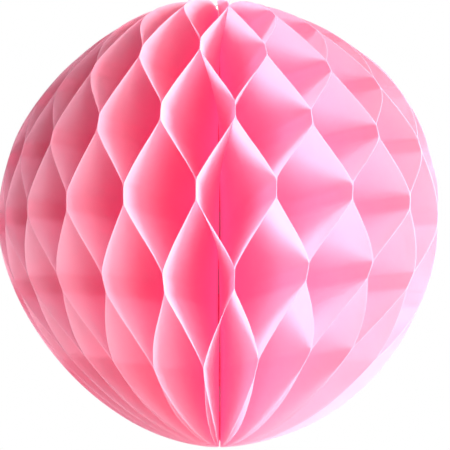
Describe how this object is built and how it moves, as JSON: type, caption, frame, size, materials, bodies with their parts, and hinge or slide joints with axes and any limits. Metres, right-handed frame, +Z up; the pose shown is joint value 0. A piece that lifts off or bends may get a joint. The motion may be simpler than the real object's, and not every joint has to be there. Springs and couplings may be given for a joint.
{
  "type": "paper honeycomb ball",
  "caption": "Open tissue-paper honeycomb ball with diamond cells fanned round a vertical spine, a hinged pair of half-disc cover cards and a hanging eye.",
  "frame": {"origin": "centre of the hanging eye, above the top pole", "axes": "+Z up along the spine, -Y towards the viewer, cards meeting at the back"},
  "size_m": [0.2492, 0.2498, 0.2567],
  "materials": {
    "tissue": "thin dyed tissue paper, light passes through it",
    "cover_card": "matt dyed card",
    "paper_band": "plain paper tape",
    "adhesive": "clear double-sided adhesive film",
    "bound_spine": "glued tissue edges pressed into a rod",
    "thread": "twisted cotton thread",
    "tab_card": "matt white card",
    "eyelet_metal": "plated steel eyelet"
  },
  "bodies": {
    "frame": {"cover_card_fixed": "cover_card", "spine_bands_fixed": "paper_band", "adhesive_dot_top": "adhesive", "adhesive_dot_middle": "adhesive", "adhesive_dot_bottom": "adhesive", "spine_core": "bound_spine", "spine_thread": "thread", "hanging_tab": "tab_card", "hanging_eyelet": "eyelet_metal"},
    "folding_cover": {"cover_card_folding": "cover_card", "spine_bands_folding": "paper_band"},
    "leaf_01": {"tissue_leaf_01": "tissue"},
    "leaf_02": {"tissue_leaf_02": "tissue"},
    "leaf_03": {"tissue_leaf_03": "tissue"},
    "leaf_04": {"tissue_leaf_04": "tissue"},
    "leaf_05": {"tissue_leaf_05": "tissue"},
    "leaf_06": {"tissue_leaf_06": "tissue"},
    "leaf_07": {"tissue_leaf_07": "tissue"},
    "leaf_08": {"tissue_leaf_08": "tissue"},
    "leaf_09": {"tissue_leaf_09": "tissue"},
    "leaf_10": {"tissue_leaf_10": "tissue"},
    "leaf_11": {"tissue_leaf_11": "tissue"},
    "leaf_12": {"tissue_leaf_12": "tissue"},
    "leaf_13": {"tissue_leaf_13": "tissue"},
    "leaf_14": {"tissue_leaf_14": "tissue"},
    "leaf_15": {"tissue_leaf_15": "tissue"},
    "leaf_16": {"tissue_leaf_16": "tissue"},
    "leaf_17": {"tissue_leaf_17": "tissue"},
    "leaf_18": {"tissue_leaf_18": "tissue"},
    "leaf_19": {"tissue_leaf_19": "tissue"},
    "leaf_20": {"tissue_leaf_20": "tissue"},
    "leaf_21": {"tissue_leaf_21": "tissue"},
    "leaf_22": {"tissue_leaf_22": "tissue"},
    "leaf_23": {"tissue_leaf_23": "tissue"},
    "leaf_24": {"tissue_leaf_24": "tissue"},
    "leaf_25": {"tissue_leaf_25": "tissue"},
    "leaf_26": {"tissue_leaf_26": "tissue"},
    "leaf_27": {"tissue_leaf_27": "tissue"},
    "leaf_28": {"tissue_leaf_28": "tissue"},
    "leaf_29": {"tissue_leaf_29": "tissue"},
    "leaf_30": {"tissue_leaf_30": "tissue"},
    "leaf_31": {"tissue_leaf_31": "tissue"},
    "leaf_32": {"tissue_leaf_32": "tissue"},
    "leaf_33": {"tissue_leaf_33": "tissue"},
    "leaf_34": {"tissue_leaf_34": "tissue"},
    "leaf_35": {"tissue_leaf_35": "tissue"},
    "leaf_36": {"tissue_leaf_36": "tissue"},
    "leaf_37": {"tissue_leaf_37": "tissue"},
    "leaf_38": {"tissue_leaf_38": "tissue"},
    "leaf_39": {"tissue_leaf_39": "tissue"},
    "leaf_40": {"tissue_leaf_40": "tissue"}
  },
  "joints": [
    {"name": "cover_fold", "type": "hinge", "parent": "frame", "child": "folding_cover", "pos_m": [0, 0, -0.1285], "axis": [0, 0, -1], "range_deg": [0, 350]},
    {"name": "leaf_01_fan", "type": "hinge", "parent": "frame", "child": "leaf_01", "pos_m": [0, 0, -0.1285], "axis": [0, 0, -1], "range_deg": [0, 5.17], "deforming": ["tissue_leaf_01"]},
    {"name": "leaf_02_fan", "type": "hinge", "parent": "frame", "child": "leaf_02", "pos_m": [0, 0, -0.1285], "axis": [0, 0, -1], "range_deg": [0, 14.35], "deforming": ["tissue_leaf_02"]},
    {"name": "leaf_03_fan", "type": "hinge", "parent": "frame", "child": "leaf_03", "pos_m": [0, 0, -0.1285], "axis": [0, 0, -1], "range_deg": [0, 23.23], "deforming": ["tissue_leaf_03"]},
    {"name": "leaf_04_fan", "type": "hinge", "parent": "frame", "child": "leaf_04", "pos_m": [0, 0, -0.1285], "axis": [0, 0, -1], "range_deg": [0, 31.81], "deforming": ["tissue_leaf_04"]},
    {"name": "leaf_05_fan", "type": "hinge", "parent": "frame", "child": "leaf_05", "pos_m": [0, 0, -0.1285], "axis": [0, 0, -1], "range_deg": [0, 40.1], "deforming": ["tissue_leaf_05"]},
    {"name": "leaf_06_fan", "type": "hinge", "parent": "frame", "child": "leaf_06", "pos_m": [0, 0, -0.1285], "axis": [0, 0, -1], "range_deg": [0, 48.1], "deforming": ["tissue_leaf_06"]},
    {"name": "leaf_07_fan", "type": "hinge", "parent": "frame", "child": "leaf_07", "pos_m": [0, 0, -0.1285], "axis": [0, 0, -1], "range_deg": [0, 55.83], "deforming": ["tissue_leaf_07"]},
    {"name": "leaf_08_fan", "type": "hinge", "parent": "frame", "child": "leaf_08", "pos_m": [0, 0, -0.1285], "axis": [0, 0, -1], "range_deg": [0, 63.31], "deforming": ["tissue_leaf_08"]},
    {"name": "leaf_09_fan", "type": "hinge", "parent": "frame", "child": "leaf_09", "pos_m": [0, 0, -0.1285], "axis": [0, 0, -1], "range_deg": [0, 70.59], "deforming": ["tissue_leaf_09"]},
    {"name": "leaf_10_fan", "type": "hinge", "parent": "frame", "child": "leaf_10", "pos_m": [0, 0, -0.1285], "axis": [0, 0, -1], "range_deg": [0, 77.69], "deforming": ["tissue_leaf_10"]},
    {"name": "leaf_11_fan", "type": "hinge", "parent": "frame", "child": "leaf_11", "pos_m": [0, 0, -0.1285], "axis": [0, 0, -1], "range_deg": [0, 84.66], "deforming": ["tissue_leaf_11"]},
    {"name": "leaf_12_fan", "type": "hinge", "parent": "frame", "child": "leaf_12", "pos_m": [0, 0, -0.1285], "axis": [0, 0, -1], "range_deg": [0, 91.53], "deforming": ["tissue_leaf_12"]},
    {"name": "leaf_13_fan", "type": "hinge", "parent": "frame", "child": "leaf_13", "pos_m": [0, 0, -0.1285], "axis": [0, 0, -1], "range_deg": [0, 98.36], "deforming": ["tissue_leaf_13"]},
    {"name": "leaf_14_fan", "type": "hinge", "parent": "frame", "child": "leaf_14", "pos_m": [0, 0, -0.1285], "axis": [0, 0, -1], "range_deg": [0, 105.2], "deforming": ["tissue_leaf_14"]},
    {"name": "leaf_15_fan", "type": "hinge", "parent": "frame", "child": "leaf_15", "pos_m": [0, 0, -0.1285], "axis": [0, 0, -1], "range_deg": [0, 112.08], "deforming": ["tissue_leaf_15"]},
    {"name": "leaf_16_fan", "type": "hinge", "parent": "frame", "child": "leaf_16", "pos_m": [0, 0, -0.1285], "axis": [0, 0, -1], "range_deg": [0, 119.06], "deforming": ["tissue_leaf_16"]},
    {"name": "leaf_17_fan", "type": "hinge", "parent": "frame", "child": "leaf_17", "pos_m": [0, 0, -0.1285], "axis": [0, 0, -1], "range_deg": [0, 126.18], "deforming": ["tissue_leaf_17"]},
    {"name": "leaf_18_fan", "type": "hinge", "parent": "frame", "child": "leaf_18", "pos_m": [0, 0, -0.1285], "axis": [0, 0, -1], "range_deg": [0, 133.47], "deforming": ["tissue_leaf_18"]},
    {"name": "leaf_19_fan", "type": "hinge", "parent": "frame", "child": "leaf_19", "pos_m": [0, 0, -0.1285], "axis": [0, 0, -1], "range_deg": [0, 140.99], "deforming": ["tissue_leaf_19"]},
    {"name": "leaf_20_fan", "type": "hinge", "parent": "frame", "child": "leaf_20", "pos_m": [0, 0, -0.1285], "axis": [0, 0, -1], "range_deg": [0, 148.75], "deforming": ["tissue_leaf_20"]},
    {"name": "leaf_21_fan", "type": "hinge", "parent": "frame", "child": "leaf_21", "pos_m": [0, 0, -0.1285], "axis": [0, 0, -1], "range_deg": [0, 156.78], "deforming": ["tissue_leaf_21"]},
    {"name": "leaf_22_fan", "type": "hinge", "parent": "frame", "child": "leaf_22", "pos_m": [0, 0, -0.1285], "axis": [0, 0, -1], "range_deg": [0, 165.09], "deforming": ["tissue_leaf_22"]},
    {"name": "leaf_23_fan", "type": "hinge", "parent": "frame", "child": "leaf_23", "pos_m": [0, 0, -0.1285], "axis": [0, 0, -1], "range_deg": [0, 173.71], "deforming": ["tissue_leaf_23"]},
    {"name": "leaf_24_fan", "type": "hinge", "parent": "frame", "child": "leaf_24", "pos_m": [0, 0, -0.1285], "axis": [0, 0, -1], "range_deg": [0, 182.63], "deforming": ["tissue_leaf_24"]},
    {"name": "leaf_25_fan", "type": "hinge", "parent": "frame", "child": "leaf_25", "pos_m": [0, 0, -0.1285], "axis": [0, 0, -1], "range_deg": [0, 191.84], "deforming": ["tissue_leaf_25"]},
    {"name": "leaf_26_fan", "type": "hinge", "parent": "frame", "child": "leaf_26", "pos_m": [0, 0, -0.1285], "axis": [0, 0, -1], "range_deg": [0, 201.34], "deforming": ["tissue_leaf_26"]},
    {"name": "leaf_27_fan", "type": "hinge", "parent": "frame", "child": "leaf_27", "pos_m": [0, 0, -0.1285], "axis": [0, 0, -1], "range_deg": [0, 211.11], "deforming": ["tissue_leaf_27"]},
    {"name": "leaf_28_fan", "type": "hinge", "parent": "frame", "child": "leaf_28", "pos_m": [0, 0, -0.1285], "axis": [0, 0, -1], "range_deg": [0, 221.13], "deforming": ["tissue_leaf_28"]},
    {"name": "leaf_29_fan", "type": "hinge", "parent": "frame", "child": "leaf_29", "pos_m": [0, 0, -0.1285], "axis": [0, 0, -1], "range_deg": [0, 231.35], "deforming": ["tissue_leaf_29"]},
    {"name": "leaf_30_fan", "type": "hinge", "parent": "frame", "child": "leaf_30", "pos_m": [0, 0, -0.1285], "axis": [0, 0, -1], "range_deg": [0, 241.75], "deforming": ["tissue_leaf_30"]},
    {"name": "leaf_31_fan", "type": "hinge", "parent": "frame", "child": "leaf_31", "pos_m": [0, 0, -0.1285], "axis": [0, 0, -1], "range_deg": [0, 252.28], "deforming": ["tissue_leaf_31"]},
    {"name": "leaf_32_fan", "type": "hinge", "parent": "frame", "child": "leaf_32", "pos_m": [0, 0, -0.1285], "axis": [0, 0, -1], "range_deg": [0, 262.91], "deforming": ["tissue_leaf_32"]},
    {"name": "leaf_33_fan", "type": "hinge", "parent": "frame", "child": "leaf_33", "pos_m": [0, 0, -0.1285], "axis": [0, 0, -1], "range_deg": [0, 273.58], "deforming": ["tissue_leaf_33"]},
    {"name": "leaf_34_fan", "type": "hinge", "parent": "frame", "child": "leaf_34", "pos_m": [0, 0, -0.1285], "axis": [0, 0, -1], "range_deg": [0, 284.24], "deforming": ["tissue_leaf_34"]},
    {"name": "leaf_35_fan", "type": "hinge", "parent": "frame", "child": "leaf_35", "pos_m": [0, 0, -0.1285], "axis": [0, 0, -1], "range_deg": [0, 294.86], "deforming": ["tissue_leaf_35"]},
    {"name": "leaf_36_fan", "type": "hinge", "parent": "frame", "child": "leaf_36", "pos_m": [0, 0, -0.1285], "axis": [0, 0, -1], "range_deg": [0, 305.38], "deforming": ["tissue_leaf_36"]},
    {"name": "leaf_37_fan", "type": "hinge", "parent": "frame", "child": "leaf_37", "pos_m": [0, 0, -0.1285], "axis": [0, 0, -1], "range_deg": [0, 315.76], "deforming": ["tissue_leaf_37"]},
    {"name": "leaf_38_fan", "type": "hinge", "parent": "frame", "child": "leaf_38", "pos_m": [0, 0, -0.1285], "axis": [0, 0, -1], "range_deg": [0, 325.97], "deforming": ["tissue_leaf_38"]},
    {"name": "leaf_39_fan", "type": "hinge", "parent": "frame", "child": "leaf_39", "pos_m": [0, 0, -0.1285], "axis": [0, 0, -1], "range_deg": [0, 335.95], "deforming": ["tissue_leaf_39"]},
    {"name": "leaf_40_fan", "type": "hinge", "parent": "frame", "child": "leaf_40", "pos_m": [0, 0, -0.1285], "axis": [0, 0, -1], "range_deg": [0, 345.69], "deforming": ["tissue_leaf_40"]}
  ],
  "couplings": [
    {"joint": "leaf_01_fan", "follows": "cover_fold", "ratio": 0.013329},
    {"joint": "leaf_02_fan", "follows": "cover_fold", "ratio": 0.039566},
    {"joint": "leaf_03_fan", "follows": "cover_fold", "ratio": 0.064949},
    {"joint": "leaf_04_fan", "follows": "cover_fold", "ratio": 0.08947},
    {"joint": "leaf_05_fan", "follows": "cover_fold", "ratio": 0.11314},
    {"joint": "leaf_06_fan", "follows": "cover_fold", "ratio": 0.13599},
    {"joint": "leaf_07_fan", "follows": "cover_fold", "ratio": 0.15808},
    {"joint": "leaf_08_fan", "follows": "cover_fold", "ratio": 0.17947},
    {"joint": "leaf_09_fan", "follows": "cover_fold", "ratio": 0.20026},
    {"joint": "leaf_10_fan", "follows": "cover_fold", "ratio": 0.22055},
    {"joint": "leaf_11_fan", "follows": "cover_fold", "ratio": 0.24045},
    {"joint": "leaf_12_fan", "follows": "cover_fold", "ratio": 0.2601},
    {"joint": "leaf_13_fan", "follows": "cover_fold", "ratio": 0.27961},
    {"joint": "leaf_14_fan", "follows": "cover_fold", "ratio": 0.29913},
    {"joint": "leaf_15_fan", "follows": "cover_fold", "ratio": 0.3188},
    {"joint": "leaf_16_fan", "follows": "cover_fold", "ratio": 0.33874},
    {"joint": "leaf_17_fan", "follows": "cover_fold", "ratio": 0.35908},
    {"joint": "leaf_18_fan", "follows": "cover_fold", "ratio": 0.37993},
    {"joint": "leaf_19_fan", "follows": "cover_fold", "ratio": 0.40139},
    {"joint": "leaf_20_fan", "follows": "cover_fold", "ratio": 0.42356},
    {"joint": "leaf_21_fan", "follows": "cover_fold", "ratio": 0.4465},
    {"joint": "leaf_22_fan", "follows": "cover_fold", "ratio": 0.47027},
    {"joint": "leaf_23_fan", "follows": "cover_fold", "ratio": 0.49488},
    {"joint": "leaf_24_fan", "follows": "cover_fold", "ratio": 0.52036},
    {"joint": "leaf_25_fan", "follows": "cover_fold", "ratio": 0.54669},
    {"joint": "leaf_26_fan", "follows": "cover_fold", "ratio": 0.57384},
    {"joint": "leaf_27_fan", "follows": "cover_fold", "ratio": 0.60175},
    {"joint": "leaf_28_fan", "follows": "cover_fold", "ratio": 0.63036},
    {"joint": "leaf_29_fan", "follows": "cover_fold", "ratio": 0.65957},
    {"joint": "leaf_30_fan", "follows": "cover_fold", "ratio": 0.68928},
    {"joint": "leaf_31_fan", "follows": "cover_fold", "ratio": 0.71938},
    {"joint": "leaf_32_fan", "follows": "cover_fold", "ratio": 0.74974},
    {"joint": "leaf_33_fan", "follows": "cover_fold", "ratio": 0.78022},
    {"joint": "leaf_34_fan", "follows": "cover_fold", "ratio": 0.8107},
    {"joint": "leaf_35_fan", "follows": "cover_fold", "ratio": 0.84103},
    {"joint": "leaf_36_fan", "follows": "cover_fold", "ratio": 0.87109},
    {"joint": "leaf_37_fan", "follows": "cover_fold", "ratio": 0.90075},
    {"joint": "leaf_38_fan", "follows": "cover_fold", "ratio": 0.9299},
    {"joint": "leaf_39_fan", "follows": "cover_fold", "ratio": 0.95844},
    {"joint": "leaf_40_fan", "follows": "cover_fold", "ratio": 0.98627}
  ]
}
